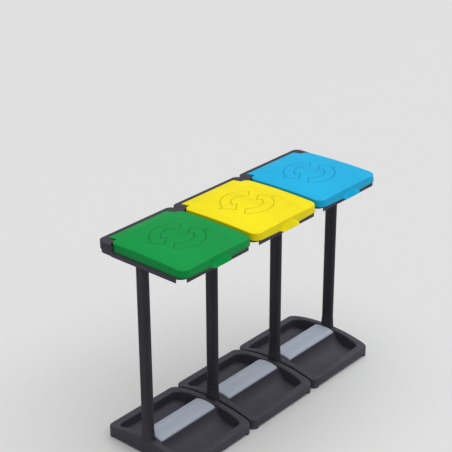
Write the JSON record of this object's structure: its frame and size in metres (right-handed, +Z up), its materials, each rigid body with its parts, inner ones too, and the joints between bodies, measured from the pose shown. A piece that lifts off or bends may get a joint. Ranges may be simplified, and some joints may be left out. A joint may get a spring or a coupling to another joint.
{
  "type": "recycling bin station",
  "caption": "Free-standing recycling bin station: dark plastic trays and posts carry ring frames for bin liners, under hinged green, yellow and blue lids with thumb lips.",
  "frame": {"origin": "On the floor, under the middle of the station's bounding box", "axes": "+X along the row from the left stand to the right stand, seen from the front; -Y the front, where the thumb lips are; +Z up"},
  "size_m": [1.1692, 0.438, 0.862],
  "materials": {
    "tray_plastic": "matte",
    "bar_plastic": "satin",
    "post_plastic": "satin",
    "frame_plastic": "satin",
    "ring_plastic": "matte",
    "lid_green": "satin",
    "lid_yellow": "satin",
    "lid_blue": "satin",
    "pin_steel": "satin",
    "screw_steel": "satin"
  },
  "bodies": {
    "stand": {"tray_left": "tray_plastic", "cross_bar_left": "bar_plastic", "frame_left": "frame_plastic", "bag_ring_left": "ring_plastic", "hinge_pin_left_1": "pin_steel", "hinge_pin_left_2": "pin_steel", "tray_middle": "tray_plastic", "cross_bar_middle": "bar_plastic", "frame_middle": "frame_plastic", "bag_ring_middle": "ring_plastic", "hinge_pin_middle_1": "pin_steel", "hinge_pin_middle_2": "pin_steel", "tray_right": "tray_plastic", "cross_bar_right": "bar_plastic", "frame_right": "frame_plastic", "bag_ring_right": "ring_plastic", "hinge_pin_right_1": "pin_steel", "hinge_pin_right_2": "pin_steel", "post_left_end": "post_plastic", "socket_left_end": "post_plastic", "post_head_left_end": "post_plastic", "screw_left_end_1": "screw_steel", "screw_left_end_2": "screw_steel", "post_left_joint": "post_plastic", "socket_left_joint": "post_plastic", "post_head_left_joint": "post_plastic", "screw_left_joint_1": "screw_steel", "screw_left_joint_2": "screw_steel", "post_right_joint": "post_plastic", "socket_right_joint": "post_plastic", "post_head_right_joint": "post_plastic", "screw_right_joint_1": "screw_steel", "screw_right_joint_2": "screw_steel", "post_right_end": "post_plastic", "socket_right_end": "post_plastic", "post_head_right_end": "post_plastic", "screw_right_end_1": "screw_steel", "screw_right_end_2": "screw_steel"},
    "lid_left": {"lid_left": "lid_green"},
    "lid_middle": {"lid_middle": "lid_yellow"},
    "lid_right": {"lid_right": "lid_blue"}
  },
  "joints": [
    {"name": "hinge_left", "type": "hinge", "parent": "stand", "child": "lid_left", "pos_m": [-0.39, 0.196, 0.8415], "axis": [-1, 0, 0], "range_deg": [0, 100]},
    {"name": "hinge_middle", "type": "hinge", "parent": "stand", "child": "lid_middle", "pos_m": [0, 0.196, 0.8415], "axis": [-1, 0, 0], "range_deg": [0, 100]},
    {"name": "hinge_right", "type": "hinge", "parent": "stand", "child": "lid_right", "pos_m": [0.39, 0.196, 0.8415], "axis": [-1, 0, 0], "range_deg": [0, 100]}
  ]
}
